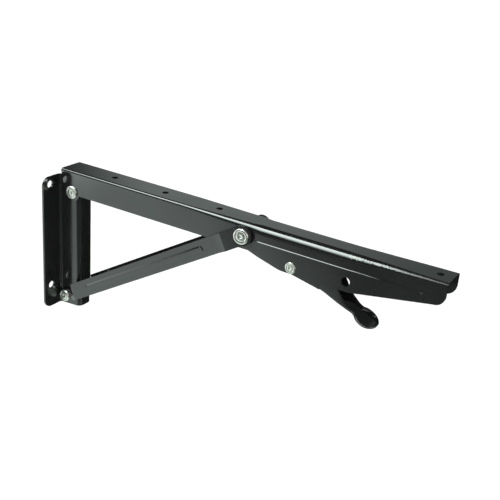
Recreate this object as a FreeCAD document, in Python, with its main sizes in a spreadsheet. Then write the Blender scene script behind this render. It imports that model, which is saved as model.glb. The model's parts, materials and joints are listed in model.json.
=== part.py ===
import FreeCAD, Part
import math
import os
import Sketcher

# Drop leaf table bracket. A wall plate with a raised hat section carries a long
# channel arm at its top and a folding strut at its bottom. A hooked lever inside
# the arm releases the strut, so that the arm folds down along the wall.
# Frame: X out of the wall, Y along the wall, Z up. The origin is on the back face
# of the wall plate, in the centre of its four screw holes.

os.makedirs("parts", exist_ok=True)
doc = FreeCAD.newDocument("drop_leaf_bracket")
sheet = doc.addObject("Spreadsheet::Sheet", "sizes")
vector = FreeCAD.Vector


class Dim:
    """A length or angle, with the sheet expression that gives it."""

    def __init__(self, value, text):
        self.value = value
        self.text = text

    def __add__(self, other):
        other = dim(other)
        return Dim(self.value + other.value, f"({self.text} + {other.text})")

    def __sub__(self, other):
        other = dim(other)
        return Dim(self.value - other.value, f"({self.text} - {other.text})")

    def __mul__(self, other):
        other = dim(other)
        return Dim(self.value * other.value, f"({self.text} * {other.text})")

    def __truediv__(self, other):
        other = dim(other)
        return Dim(self.value / other.value, f"({self.text} / {other.text})")

    def __radd__(self, other):
        return dim(other) + self

    def __rsub__(self, other):
        return dim(other) - self

    def __neg__(self):
        return Dim(-self.value, f"(0 - {self.text})")


def dim(item):
    """Give a plain number the same form as a sheet value."""
    return item if isinstance(item, Dim) else Dim(item, f"({item})")


def root(item):
    return Dim(math.sqrt(item.value), f"sqrt({item.text})")


def cosine(angle):
    return Dim(math.cos(math.radians(angle.value)), f"cos({angle.text} * 1 deg)")


def sine(angle):
    return Dim(math.sin(math.radians(angle.value)), f"sin({angle.text} * 1 deg)")


def rise_angle(rise, run):
    """Angle in degrees of a slope with a rise over a run."""
    value = math.degrees(math.atan2(rise.value, run.value))
    return Dim(value, f"(atan({rise.text} / {run.text}) / 1 deg)")


rows = 0


def size(alias, value, note):
    """Write one driving dimension into the sheet and return it."""
    global rows
    rows += 1
    sheet.set(f"A{rows}", note)
    sheet.set(f"B{rows}", str(value))
    sheet.setAlias(f"B{rows}", alias)
    return Dim(value, f"sizes.{alias}")


# Sheet metal and fits
sheet_t = size("sheet_t", 2.0, "thickness of plate, arm and strut")
lever_t = size("lever_t", 1.5, "thickness of the lever sheet")
fit = size("fit", 0.05, "radial clearance of a rivet in its hole")
tight_bend = size("tight_bend", 2.5, "outer radius of a folded edge")
spare = size("spare", 5.0, "spare metal that an outline cuts away")

# Wall plate
plate_height = size("plate_height", 139.0, "height of the wall plate")
plate_half = size("plate_half", 34.0, "half width of the wall plate")
plate_corner = size("plate_corner", 8.5, "corner radius of the wall plate")
hat_half = size("hat_half", 9.1, "half width of the hat over its sides")
hat_depth = size("hat_depth", 25.4, "depth of the hat from the wall")
foot_bend = size("foot_bend", 3.0, "inner radius between flange and hat side")
hat_bend = size("hat_bend", 5.5, "outer radius of the crown of the hat")
screw_y = size("screw_y", 24.6, "screw holes from the middle plane")
screw_z = size("screw_z", 53.8, "screw holes above and below the origin")
plate_low = size("plate_low", -77.6, "height of the lower end of the wall plate")
screw_r = size("screw_r", 3.75, "radius of the screw holes")

# Pivots
arm_x = size("arm_x", 20.0, "arm pivot from the wall")
arm_z = size("arm_z", 47.4, "height of the arm pivot")
strut_x = size("strut_x", 10.2, "strut pivot from the wall")
strut_z = size("strut_z", -67.3, "height of the strut pivot")
pin_x = size("pin_x", 215.9, "lock pin from the wall")
pin_deep = size("pin_deep", 11.0, "lock pin below the top face of the arm")
lever_on = size("lever_on", 48.3, "lever pivot beyond the lock pin")
lever_deep = size("lever_deep", 27.2, "lever pivot below the top face")
rivet_r = size("rivet_r", 2.5, "shank radius of the pivot rivets")
pin_r = size("pin_r", 4.0, "radius of the lock pin")
pin_play = size("pin_play", 0.4, "gap between lock pin and pin ears")

# Arm
arm_top = size("arm_top", 69.0, "height of the top face of the arm")
arm_half = size("arm_half", 14.0, "half width of the arm over its sides")
arm_rear = size("arm_rear", 6.2, "rear edge of the arm from the wall")
arm_front = size("arm_front", 398.0, "front end of the arm from the wall")
arm_low = size("arm_low", 45.1, "height of the lower edge of the arm")
lobe_r = size("lobe_r", 9.0, "radius of the lobe round the arm pivot")
bulge_out = size("bulge_out", 1.0, "set-out of the sides beside the lever")
bulge_bend = size("bulge_bend", 7.0, "outer bend radius beside the lever")
shoulder_z = size("shoulder_z", 55.7, "height of the shoulder of the set-out")
shoulder_step = size("shoulder_step", 1.2, "height of the slope of the shoulder")
belly_z = size("belly_z", 36.3, "height of the lowest edge of the belly")
belly_on = size("belly_on", 5.1, "belly beyond the lock pin")
belly_fall = size("belly_fall", 0.203, "fall of the belly, in shares of pin to front")
belly_run = size("belly_run", 0.308, "level run of the belly, in the same shares")
belly_soft = size("belly_soft", 8.0, "run of the curve where the belly gets level")
belly_sag = size("belly_sag", 1.06, "rise of that curve")
belly_soft_r = size("belly_soft_r", 30.0, "radius of that curve")
rise_soft = size("rise_soft", 10.4, "run of the curve where the belly rises")
rise_sag = size("rise_sag", 0.9, "rise of that curve")
rise_soft_r = size("rise_soft_r", 60.0, "radius of that curve")
even_run = size("even_run", 70.0, "from the last even section to the belly")
swell_run = size("swell_run", 10.0, "length over which the sides step out")
taper_from = size("taper_from", 15.0, "last full section from the front end")
nose_z = size("nose_z", 48.6, "height of the belly at the nose")
nose_r = size("nose_r", 9.0, "radius of the nose")
web_hole_r = size("web_hole_r", 3.0, "radius of the holes in the top face")
web_hole_first = size("web_hole_first", 61.7, "first hole in the top face")
web_hole_gap = size("web_hole_gap", 59.6, "spacing of the holes in the top face")
web_hole_back = size("web_hole_back", 11.0, "last hole from the front end")
side_hole_on = size("side_hole_on", 1.0, "large side hole beyond the level belly")
side_hole_z = size("side_hole_z", 45.0, "height of the large side hole")
side_hole_r = size("side_hole_r", 4.0, "radius of the large side hole")
nose_hole_back = size("nose_hole_back", 20.2, "small side hole from the front end")
nose_hole_z = size("nose_hole_z", 55.9, "height of the small side hole")
nose_hole_r = size("nose_hole_r", 2.0, "radius of the small side hole")

# Strut, in its own frame: along it from the pivot, and across it
strut_inner = size("strut_inner", 14.3, "half width inside the strut")
strut_foot = size("strut_foot", 12.1, "half width inside its pivot ears")
strut_fork = size("strut_fork", 16.4, "half width inside its pin ears")
strut_up = size("strut_up", 8.8, "upper edge from the line of pivots")
strut_down = size("strut_down", 8.0, "lower edge from the line of pivots")
foot_ear_r = size("foot_ear_r", 7.0, "radius of the pivot ears")
fork_ear_r = size("fork_ear_r", 9.4, "radius of the pin ears")
foot_bend_x = size("foot_bend_x", 8.0, "where the pivot ears start to spread")
foot_wall_x = size("foot_wall_x", 14.5, "where the full side wall begins")
joggle_shift = size("joggle_shift", 0.6, "outer bends of the pivot joggle, set back")
fork_shift = size("fork_shift", 0.2, "outer bends of the fork joggle, set back")
fork_bend_back = size("fork_bend_back", 30.9, "fork starts to spread, from the pin")
fork_wall_back = size("fork_wall_back", 20.9, "pin ears run straight, from the pin")
web_from = size("web_from", 21.0, "start of the bottom of the strut")
web_back = size("web_back", 64.9, "end of the bottom, from the pin")
bead_from = size("bead_from", 38.0, "start of the pressed bead")
bead_back = size("bead_back", 48.9, "end of the pressed bead, from the pin")
bead_r = size("bead_r", 2.9, "half height of the pressed bead")
bead_mid = size("bead_mid", 0.7, "bead above the line of pivots")
bead_out = size("bead_out", 0.9, "how far the bead stands out")
bead_slope = size("bead_slope", 60.0, "slope of the flanks of the bead")
bead_in_r = size("bead_in_r", 1.6, "half height of the groove inside the bead")
heel_low = size("heel_low", 2.0, "lower end of the side wall, set back")
heel_mid = size("heel_mid", 1.5, "side wall above the pivot ear, set back")
heel_high = size("heel_high", 1.0, "upper end of the side wall, set forward")
tongue_rise = size("tongue_rise", 0.28, "tongue of the pivot ear, in ear radii")

# Lever
lever_half = size("lever_half", 10.0, "half width over the lever")
seat_gap = size("seat_gap", 0.35, "clearance of the hook round the lock pin")
hook_t = size("hook_t", 3.5, "thickness of the hook under the pin")
lever_boss = size("lever_boss", 8.2, "lever metal round its pivot")
tail_run = size("tail_run", 26.0, "foot of the hook beyond the lock pin")
tail_drop = size("tail_drop", 8.0, "foot of the hook below the hook")
boss_run = size("boss_run", 8.0, "boss behind the pivot")
boss_rise = size("boss_rise", 1.9, "rise of the floor behind the pivot")
floor_shift = size("floor_shift", 1.3, "lowest point of the boss behind the pivot")
floor_skew = size("floor_skew", 0.3, "upper face of the floor, set forward")
bar_mid_on = size("bar_mid_on", 32.5, "handle edge below the arm beyond the pivot")
bar_mid_drop = size("bar_mid_drop", 15.0, "handle edge there below the pivot")
bar_end_on = size("bar_end_on", 51.8, "second bend of the handle beyond the pivot")
bar_end_drop = size("bar_end_drop", 21.8, "second bend below the pivot")
cheek_top_on = size("cheek_top_on", 24.0, "upper front corner of the side plates")
cheek_top_rise = size("cheek_top_rise", 1.0, "that corner above the pivot")
cheek_mid_on = size("cheek_mid_on", 49.6, "upper edge of the sides beyond the pivot")
cheek_mid_drop = size("cheek_mid_drop", 17.6, "that edge below the pivot")
spoon_on = size("spoon_on", 67.9, "middle of the thumb dish beyond the pivot")
spoon_drop = size("spoon_drop", 29.5, "middle of the thumb dish below the pivot")
spoon_r = size("spoon_r", 11.5, "radius of the round sides of the thumb dish")
spoon_wide = size("spoon_wide", 1.8, "half the straight width between them")
spoon_tilt = size("spoon_tilt", 28.0, "slope of the thumb dish")
dish_deep = size("dish_deep", 3.6, "depth of the thumb dish over its outside")
dish_slope = size("dish_slope", 15.0, "slope of the side of the dish")
dish_rim = size("dish_rim", 1.6, "width of the rim of the dish")
neck_in = size("neck_in", 1.5, "how far the handle runs into the rim")

# Rivet heads, washers and spacers
arm_head_r = size("arm_head_r", 6.5, "head radius at the arm pivot")
strut_head_r = size("strut_head_r", 6.1, "head radius at the strut pivot")
fork_head_r = size("fork_head_r", 7.2, "head radius at the pin ears")
lever_head_r = size("lever_head_r", 5.0, "head radius at the lever pivot")
head_t = size("head_t", 2.1, "height of the domed heads")
low_head_t = size("low_head_t", 0.9, "height of the flat heads")
rim_t = size("rim_t", 0.7, "height of the straight rim of a head")
mark_r = size("mark_r", 1.3, "radius of the mark in a head")
mark_t = size("mark_t", 0.4, "depth of the mark in a head")
washer_r = size("washer_r", 6.0, "outer radius of the washers")
foot_washer_r = size("foot_washer_r", 5.1, "outer radius of the washers at the strut")
sleeve_r = size("sleeve_r", 4.5, "outer radius of the sleeve in the hat")
spacer_r = size("spacer_r", 5.4, "outer radius of the spacer in the lever")
end_gap = size("end_gap", 0.05, "end play of sleeve and spacer")
wire_r = size("wire_r", 0.6, "wire radius of the spring")
coil_r = size("coil_r", 6.1, "mean radius of the spring")
coil_pitch = size("coil_pitch", 1.5, "pitch of the spring")
coil_turns = size("coil_turns", 5.25, "turns of the spring")
low_leg = size("low_leg", 22.0, "leg of the spring along the floor")
high_leg = size("high_leg", 20.0, "leg of the spring under the top face")

doc.recompute()

# Places that follow from the sizes above
pin_z = arm_top - pin_deep
lever_x = pin_x + lever_on
lever_z = arm_top - lever_deep
strut_run = pin_x - strut_x
strut_rise = pin_z - strut_z
strut_reach = root(strut_run * strut_run + strut_rise * strut_rise)
strut_angle = rise_angle(strut_rise, strut_run)
span = arm_front - pin_x
belly_start = pin_x + belly_on
belly_flat = belly_start + span * belly_fall
belly_rise = belly_flat + span * belly_run
side_hole_x = belly_rise + side_hole_on
nose_hole_x = arm_front - nose_hole_back
web_hole_last = arm_front - web_hole_back
bulge_half = arm_half + bulge_out
bore_r = rivet_r + fit


def bind(item, name, amount):
    item.setExpression(name, dim(amount).text)


def new_body(name):
    body = doc.addObject("PartDesign::Body", name)
    body.Label = name
    return body


def sketch_on(body, role, height=0, origin=(0, 0), turn=0, about=vector(0, 0, 1)):
    """Put a sketch on an origin plane of its body, moved along the plane's normal
    and turned about an axis of that plane."""
    plane = next(p for p in body.Origin.OriginFeatures if p.Role == role)
    sketch = body.newObject("Sketcher::SketchObject", f"{body.Name}_sketch")
    sketch.AttachmentSupport = [(plane, "")]
    sketch.MapMode = "FlatFace"
    turned = FreeCAD.Rotation(about, dim(turn).value)
    sketch.AttachmentOffset = FreeCAD.Placement(vector(), turned)
    for axis, amount in zip("xyz", (origin[0], origin[1], height)):
        bind(sketch, f"AttachmentOffset.Base.{axis}", amount)
    if isinstance(turn, Dim):
        bind(sketch, "AttachmentOffset.Rotation.Angle", turn)
    return sketch


def fix_point(sketch, geometry, end, x, y):
    """Hold one point of the sketch at x and y, measured from the sketch origin."""
    for kind, amount, axis in (("DistanceX", dim(x), -2), ("DistanceY", dim(y), -1)):
        if amount.value == 0:
            sketch.addConstraint(Sketcher.Constraint("PointOnObject", geometry, end, axis))
            continue
        made = sketch.addConstraint(
            Sketcher.Constraint(kind, -1, 1, geometry, end, amount.value)
        )
        sketch.setExpression(f"Constraints[{made}]", amount.text)


def add_outline(sketch, corners):
    """Draw a closed outline. A corner is (x, y), reached by a straight edge, or
    (x, y, radius, side), reached by an arc with its centre to the left (1) or to
    the right (-1) of the way it is drawn."""
    first = sketch.GeometryCount
    starts, ends = [], []
    for index, corner in enumerate(corners):
        before = corners[index - 1]
        start = vector(dim(before[0]).value, dim(before[1]).value, 0)
        end = vector(dim(corner[0]).value, dim(corner[1]).value, 0)
        if len(corner) == 2:
            sketch.addGeometry(Part.LineSegment(start, end), False)
            starts.append(1)
            ends.append(2)
            continue
        radius, side = dim(corner[2]).value, corner[3]
        chord = end - start
        across = math.sqrt(max(radius**2 - (chord.Length / 2) ** 2, 0))
        left = vector(-chord.y, chord.x, 0).normalize()
        centre = (start + end) * 0.5 + left * (side * across)
        low, high = (start, end) if side > 0 else (end, start)
        angles = [math.atan2(p.y - centre.y, p.x - centre.x) for p in (low, high)]
        circle = Part.Circle(centre, vector(0, 0, 1), radius)
        sketch.addGeometry(Part.ArcOfCircle(circle, *angles), False)
        starts.append(1 if side > 0 else 2)
        ends.append(2 if side > 0 else 1)
    count = len(corners)
    for index, corner in enumerate(corners):
        following = (index + 1) % count
        joined = (first + index, ends[index], first + following, starts[following])
        sketch.addConstraint(Sketcher.Constraint("Coincident", *joined))
        fix_point(sketch, first + index, ends[index], corner[0], corner[1])
        if len(corner) == 4:
            radius = dim(corner[2])
            made = sketch.addConstraint(
                Sketcher.Constraint("Radius", first + index, radius.value)
            )
            sketch.setExpression(f"Constraints[{made}]", radius.text)


def add_circle(sketch, x, y, radius):
    centre = vector(dim(x).value, dim(y).value, 0)
    geometry = sketch.addGeometry(
        Part.Circle(centre, vector(0, 0, 1), dim(radius).value), False
    )
    fix_point(sketch, geometry, 3, x, y)
    made = sketch.addConstraint(
        Sketcher.Constraint("Radius", geometry, dim(radius).value)
    )
    sketch.setExpression(f"Constraints[{made}]", dim(radius).text)


def feature(body, kind, sketch, length, symmetric, backwards=False):
    """Pad or pocket a sketch by a length, on one side or on both."""
    made = body.newObject(f"PartDesign::{kind}", f"{body.Name}_{kind.lower()}")
    made.Profile = sketch
    made.SideType = "Symmetric" if symmetric else "One side"
    made.Reversed = backwards
    bind(made, "Length", length)
    return made


def trim(body, role, corners, reach, depth):
    """Cut away everything outside an outline, right through the body."""
    sketch = sketch_on(body, role)
    add_outline(sketch, [(-reach, -reach), (reach, -reach), (reach, reach), (-reach, reach)])
    add_outline(sketch, corners)
    return feature(body, "Pocket", sketch, depth, True)


def drill(body, role, holes, depth):
    """Drill round holes, each (x, y, radius), right through the body."""
    sketch = sketch_on(body, role)
    for x, y, radius in holes:
        add_circle(sketch, x, y, radius)
    return feature(body, "Pocket", sketch, depth, True)


def ring(name, x, z, near, far, inner, outer):
    """A washer, sleeve or spacer on a cross axis, from near to far along minus Y."""
    body = new_body(name)
    sketch = sketch_on(body, "XZ_Plane", near)
    add_circle(sketch, x, z, outer)
    add_circle(sketch, x, z, inner)
    feature(body, "Pad", sketch, far - near, False)
    return body


def head(grip, head_r, height, side):
    """Outline of a rivet head from its rim to the axis, above a grip length."""
    run = head_r - mark_r
    rise = height - rim_t
    dome = (run * run + rise * rise) / (rise * 2)
    top = grip + height
    points = [(head_r, grip), (head_r, grip + rim_t), (mark_r, top, dome, 1)]
    points += [(mark_r, top - mark_t), (0, top - mark_t)]
    if side > 0:
        return points
    return [(p[0], -p[1], p[2], -1) if len(p) == 4 else (p[0], -p[1]) for p in points]


def turned(name, x, z, corners):
    """A part of revolution about a cross axis through x, z."""
    body = new_body(name)
    sketch = sketch_on(body, "XY_Plane")
    add_outline(sketch, corners)
    made = body.newObject("PartDesign::Revolution", f"{name}_turn")
    made.Profile = sketch
    made.ReferenceAxis = (sketch, ["V_Axis"])
    made.Angle = 360
    bind(body, "Placement.Base.x", x)
    bind(body, "Placement.Base.z", z)
    return body


def through_rivet(name, x, z, grip, head_r, height):
    """A rivet with a head at both ends of its grip."""
    low = head(grip, head_r, height, -1)
    mirrored = [low[4], low[3], low[2][:2]]
    mirrored += [(head_r, -(grip + rim_t), low[2][2], 1), low[0]]
    corners = mirrored + [(rivet_r, -grip), (rivet_r, grip)] + head(grip, head_r, height, 1)
    return turned(name, x, z, corners)


# The wall plate is one sheet pressed into a hat section. Its profile is seen from
# above and padded over the height; the corners and the holes are then cut from it.
plate = new_body("wall_plate")
plate_high = plate_low + plate_height
profile = sketch_on(plate, "XY_Plane", plate_low + plate_height / 2)
outer_foot = foot_bend + sheet_t
foot_x = sheet_t + foot_bend
crown_x = hat_depth - hat_bend
inner_bend = hat_bend - sheet_t
add_outline(
    profile,
    [
        (0, -plate_half),
        (sheet_t, -plate_half),
        (sheet_t, -hat_half - foot_bend),
        (foot_x, -hat_half, foot_bend, -1),
        (crown_x, -hat_half),
        (hat_depth, hat_bend - hat_half, hat_bend, 1),
        (hat_depth, hat_half - hat_bend),
        (crown_x, hat_half, hat_bend, 1),
        (foot_x, hat_half),
        (sheet_t, hat_half + foot_bend, foot_bend, -1),
        (sheet_t, plate_half),
        (0, plate_half),
        (0, hat_half + foot_bend),
        (foot_x, hat_half - sheet_t, outer_foot, 1),
        (crown_x, hat_half - sheet_t),
        (hat_depth - sheet_t, hat_half - hat_bend, inner_bend, -1),
        (hat_depth - sheet_t, hat_bend - hat_half),
        (crown_x, sheet_t - hat_half, inner_bend, -1),
        (foot_x, sheet_t - hat_half),
        (0, -hat_half - foot_bend, outer_foot, 1),
    ],
)
feature(plate, "Pad", profile, plate_height, True)
corner_y = plate_half - plate_corner
trim(
    plate,
    "YZ_Plane",
    [
        (corner_y, plate_low),
        (plate_half, plate_low + plate_corner, plate_corner, 1),
        (plate_half, plate_high - plate_corner),
        (corner_y, plate_high, plate_corner, 1),
        (-corner_y, plate_high),
        (-plate_half, plate_high - plate_corner, plate_corner, 1),
        (-plate_half, plate_low + plate_corner),
        (-corner_y, plate_low, plate_corner, 1),
    ],
    plate_height,
    hat_depth * 3,
)
drill(
    plate,
    "YZ_Plane",
    [(y, z, screw_r) for y in (-screw_y, screw_y) for z in (-screw_z, screw_z)],
    hat_depth,
)
drill(plate, "XZ_Plane", [(arm_x, arm_z, bore_r), (strut_x, strut_z, bore_r)], hat_half * 4)

# The arm is a channel, open below. Its section changes along it: beside the lever
# the folded edges are much rounder and the sides step out at a shoulder. The
# channel is lofted deeper than needed and then cut to its side outline.
arm = new_body("arm")
deep_z = belly_z - spare


def channel_section(station, bend, out):
    """One section of the arm: folded edges of a radius, sides stepped out."""
    sketch = sketch_on(arm, "YZ_Plane", station)
    half = [
        (arm_half - bend, arm_top),
        (arm_half, arm_top - bend, bend, -1),
        (arm_half, shoulder_z + shoulder_step),
        (arm_half + out, shoulder_z),
        (arm_half + out, deep_z),
        (arm_half + out - sheet_t, deep_z),
        (arm_half + out - sheet_t, shoulder_z),
        (arm_half - sheet_t, shoulder_z + shoulder_step),
        (arm_half - sheet_t, arm_top - bend),
        (arm_half - bend, arm_top - sheet_t, bend - sheet_t, 1),
    ]
    other = [(-c[0], c[1]) for c in reversed(half)]
    other[1] = (-half[8][0], half[8][1], bend - sheet_t, 1)
    other[9] = (-half[0][0], half[0][1], bend, -1)
    add_outline(sketch, half + other)
    return sketch


none = dim(0.0)
sections = [
    channel_section(arm_rear, tight_bend, none),
    channel_section(belly_start - even_run, tight_bend, none),
    channel_section(belly_start, tight_bend * 2, none),
    channel_section(belly_start + swell_run, bulge_bend, bulge_out),
    channel_section(belly_rise, bulge_bend, bulge_out),
    channel_section(arm_front - taper_from, tight_bend * 1.2, none),
    channel_section(arm_front, tight_bend, none),
]
loft = arm.newObject("PartDesign::AdditiveLoft", "arm_loft")
loft.Profile = sections[0]
loft.Sections = sections[1:]
loft.Ruled = True
lobe_reach = root(lobe_r * lobe_r - (arm_z - arm_low) * (arm_z - arm_low))
trim(
    arm,
    "XZ_Plane",
    [
        (arm_rear, arm_top + spare),
        (arm_rear, arm_top - tight_bend),
        (arm_x - lobe_r, arm_z),
        (arm_x, arm_z - lobe_r, lobe_r, 1),
        (arm_x + lobe_reach, arm_low, lobe_r, 1),
        (belly_start, arm_low),
        (belly_flat - belly_soft, belly_z + belly_sag),
        (belly_flat, belly_z, belly_soft_r, 1),
        (belly_rise, belly_z),
        (belly_rise + rise_soft, belly_z + rise_sag, rise_soft_r, 1),
        (arm_front - nose_r, nose_z),
        (arm_front, nose_z + nose_r, nose_r, 1),
        (arm_front, arm_top + spare),
    ],
    arm_front * 1.2,
    arm_half * 5,
)
drill(
    arm,
    "XZ_Plane",
    [
        (arm_x, arm_z, bore_r),
        (pin_x, pin_z, pin_r + fit),
        (lever_x, lever_z, bore_r),
        (side_hole_x, side_hole_z, side_hole_r),
        (nose_hole_x, nose_hole_z, nose_hole_r),
    ],
    arm_half * 5,
)
web_holes = [(web_hole_first + web_hole_gap * n, 0, web_hole_r) for n in range(3)]
drill(arm, "XY_Plane", web_holes + [(web_hole_last, 0, web_hole_r)], arm_top * 3)

# The strut is modelled lying along X from its pivot and then turned up into place.
# Both sides are strips seen from above, joggled in at the pivot and out at the pin,
# cut to their side outline; the bottom joins them over the middle stretch.
strut = new_body("strut")
web_to = strut_reach - web_back
bead_to = strut_reach - bead_back
fork_bend_x = strut_reach - fork_bend_back
fork_wall_x = strut_reach - fork_wall_back
floor = sketch_on(strut, "XZ_Plane")
floor_top = sheet_t - strut_down
add_outline(
    floor,
    [
        (web_from, -strut_down),
        (web_to, -strut_down),
        (web_to, floor_top),
        (web_from, floor_top),
    ],
)
feature(strut, "Pad", floor, (strut_inner + sheet_t / 2) * 2, True)
sides = sketch_on(strut, "XY_Plane")
past = strut_reach + fork_ear_r * 2
for way in (1, -1):
    inner = [
        (-foot_ear_r * 2, strut_foot),
        (foot_bend_x, strut_foot),
        (foot_wall_x, strut_inner),
        (fork_bend_x, strut_inner),
        (fork_wall_x, strut_fork),
        (past, strut_fork),
    ]
    outer = [
        (past, strut_fork + sheet_t),
        (fork_wall_x - fork_shift, strut_fork + sheet_t),
        (fork_bend_x - fork_shift, strut_inner + sheet_t),
        (foot_wall_x - joggle_shift, strut_inner + sheet_t),
        (foot_bend_x - joggle_shift, strut_foot + sheet_t),
        (-foot_ear_r * 2, strut_foot + sheet_t),
    ]
    add_outline(sides, [(x, y * way) for x, y in inner + outer])
feature(strut, "Pad", sides, strut_up * 3, True)
reach_up = root(fork_ear_r * fork_ear_r - strut_up * strut_up)
reach_down = root(fork_ear_r * fork_ear_r - strut_down * strut_down)
tongue_y = foot_ear_r * tongue_rise
tongue_x = root(foot_ear_r * foot_ear_r - tongue_y * tongue_y)
trim(
    strut,
    "XZ_Plane",
    [
        (foot_wall_x - heel_low, -strut_down),
        (strut_reach - reach_down, -strut_down),
        (strut_reach + fork_ear_r, 0, fork_ear_r, 1),
        (strut_reach - reach_up, strut_up, fork_ear_r, 1),
        (foot_wall_x + heel_high, strut_up),
        (foot_wall_x - heel_mid, -tongue_y),
        (tongue_x, tongue_y),
        (0, foot_ear_r, foot_ear_r, 1),
        (-foot_ear_r, 0, foot_ear_r, 1),
        (0, -foot_ear_r, foot_ear_r, 1),
    ],
    strut_reach * 1.3,
    strut_fork * 4,
)
drill(strut, "XZ_Plane", [(0, 0, bore_r), (strut_reach, 0, rivet_r + fit)], strut_fork * 4)


def bead_outline(half):
    """Outline of the bead: straight along the strut, with round ends."""
    return [
        (bead_to, bead_mid - half),
        (bead_to + half, bead_mid, half, 1),
        (bead_to, bead_mid + half, half, 1),
        (bead_from, bead_mid + half),
        (bead_from - half, bead_mid, half, 1),
        (bead_from, bead_mid - half, half, 1),
    ]


for way in (1, -1):
    raised = sketch_on(strut, "XZ_Plane", (strut_inner + sheet_t) * way)
    add_outline(raised, bead_outline(bead_r))
    ridge = feature(strut, "Pad", raised, bead_out, False, way < 0)
    bind(ridge, "TaperAngle", -bead_slope)
for way in (1, -1):
    sunk = sketch_on(strut, "XZ_Plane", strut_inner * way)
    add_outline(sunk, bead_outline(bead_in_r))
    feature(strut, "Pocket", sunk, bead_out, False, way > 0)
strut.Placement = FreeCAD.Placement(
    vector(), FreeCAD.Rotation(vector(0, -1, 0), strut_angle.value)
)
bind(strut, "Placement.Rotation.Angle", strut_angle)
bind(strut, "Placement.Base.x", strut_x)
bind(strut, "Placement.Base.z", strut_z)

# The release lever is one sheet: two side plates joined by a floor below, a hook
# that holds the lock pin at the rear, and a dished thumb rest at the front.
lever = new_body("release_lever")
seat_r = pin_r + seat_gap
hook_r = seat_r + hook_t
floor_low = lever_z - lever_boss
floor_line = [
    (lever_x - boss_run, floor_low + boss_rise),
    (lever_x - floor_shift, floor_low),
    (lever_x + bar_mid_on, lever_z - bar_mid_drop),
    (lever_x + bar_end_on, lever_z - bar_end_drop),
]
spoon_x = lever_x + spoon_on
spoon_z = lever_z - spoon_drop
dish_cos = cosine(spoon_tilt)
dish_sin = sine(spoon_tilt)


def on_dish(along, up):
    """A point seen from the side, along the slope of the dish and above its rim."""
    return (
        spoon_x + dish_cos * along + dish_sin * up,
        spoon_z - dish_sin * along + dish_cos * up,
    )


rim_low = on_dish(neck_in - spoon_r, -lever_t)
rim_high = on_dish(neck_in - spoon_r, 0)
for start in (lever_half - lever_t, -lever_half):
    cheek = sketch_on(lever, "XZ_Plane", start)
    add_outline(
        cheek,
        [
            (pin_x + seat_r, pin_z),
            (pin_x, pin_z - seat_r, seat_r, -1),
            (pin_x - seat_r, pin_z, seat_r, -1),
            (pin_x - hook_r, pin_z),
            (pin_x, pin_z - hook_r, hook_r, 1),
            (pin_x + tail_run, pin_z - hook_r - tail_drop),
        ]
        + floor_line
        + [
            rim_low,
            rim_high,
            (lever_x + cheek_mid_on, lever_z - cheek_mid_drop),
            (lever_x + cheek_top_on, lever_z + cheek_top_rise),
            (lever_x + boss_run - boss_rise, lever_z + lever_boss),
            (lever_x - boss_run, lever_z + lever_boss),
            (pin_x + hook_r, pin_z),
        ],
    )
    feature(lever, "Pad", cheek, lever_t, False)
floor = sketch_on(lever, "XZ_Plane")
add_outline(
    floor,
    floor_line
    + [rim_low, rim_high]
    + [(x + floor_skew, z + lever_t) for x, z in reversed(floor_line)],
)
feature(lever, "Pad", floor, lever_half * 2, True)


def dish_sketch(half):
    """A wide oval in the plane of the rim, with round sides of a radius."""
    sketch = sketch_on(lever, "XY_Plane", spoon_z, (spoon_x, 0), spoon_tilt, vector(0, 1, 0))
    add_outline(
        sketch,
        [
            (half, spoon_wide),
            (0, spoon_wide + half, half, 1),
            (-half, spoon_wide, half, 1),
            (-half, -spoon_wide),
            (0, -spoon_wide - half, half, 1),
            (half, -spoon_wide, half, 1),
        ],
    )
    return sketch


cup = feature(lever, "Pad", dish_sketch(spoon_r), dish_deep, False, True)
bind(cup, "TaperAngle", -dish_slope)
hollow = feature(lever, "Pocket", dish_sketch(spoon_r - dish_rim), dish_deep - lever_t, False)
bind(hollow, "TaperAngle", -dish_slope)
drill(lever, "XZ_Plane", [(lever_x, lever_z, bore_r)], lever_half * 4)

# The lock pin crosses the arm and stops just short of the strut's pin ears.
lock_pin = doc.addObject("Part::Cylinder", "lock_pin")
lock_pin.Label = "lock_pin"
pin_half = strut_fork - pin_play
bind(lock_pin, "Radius", pin_r)
bind(lock_pin, "Height", pin_half * 2)
lock_pin.Placement = FreeCAD.Placement(vector(), FreeCAD.Rotation(vector(1, 0, 0), 90))
bind(lock_pin, "Placement.Base.x", pin_x)
bind(lock_pin, "Placement.Base.y", pin_half)
bind(lock_pin, "Placement.Base.z", pin_z)

# Rivets: two heads on the pivots of arm, strut and lever, one on each pin ear.
arm_rivet = through_rivet("arm_pivot_rivet", arm_x, arm_z, arm_half, arm_head_r, head_t)
foot_grip = strut_foot + sheet_t
foot_rivet = through_rivet(
    "strut_pivot_rivet", strut_x, strut_z, foot_grip, strut_head_r, head_t
)
lever_rivet = through_rivet(
    "lever_pivot_rivet", lever_x, lever_z, bulge_half, lever_head_r, low_head_t
)
fork_rivets = []
for name, way in (("strut_end_rivet_near", -1), ("strut_end_rivet_far", 1)):
    stem = [(0, strut_fork * way), (rivet_r, strut_fork * way)]
    stem.append((rivet_r, (strut_fork + sheet_t) * way))
    cap = head(strut_fork + sheet_t, fork_head_r, head_t, way)
    fork_rivets.append(turned(name, pin_x, pin_z, stem + cap))

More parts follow.
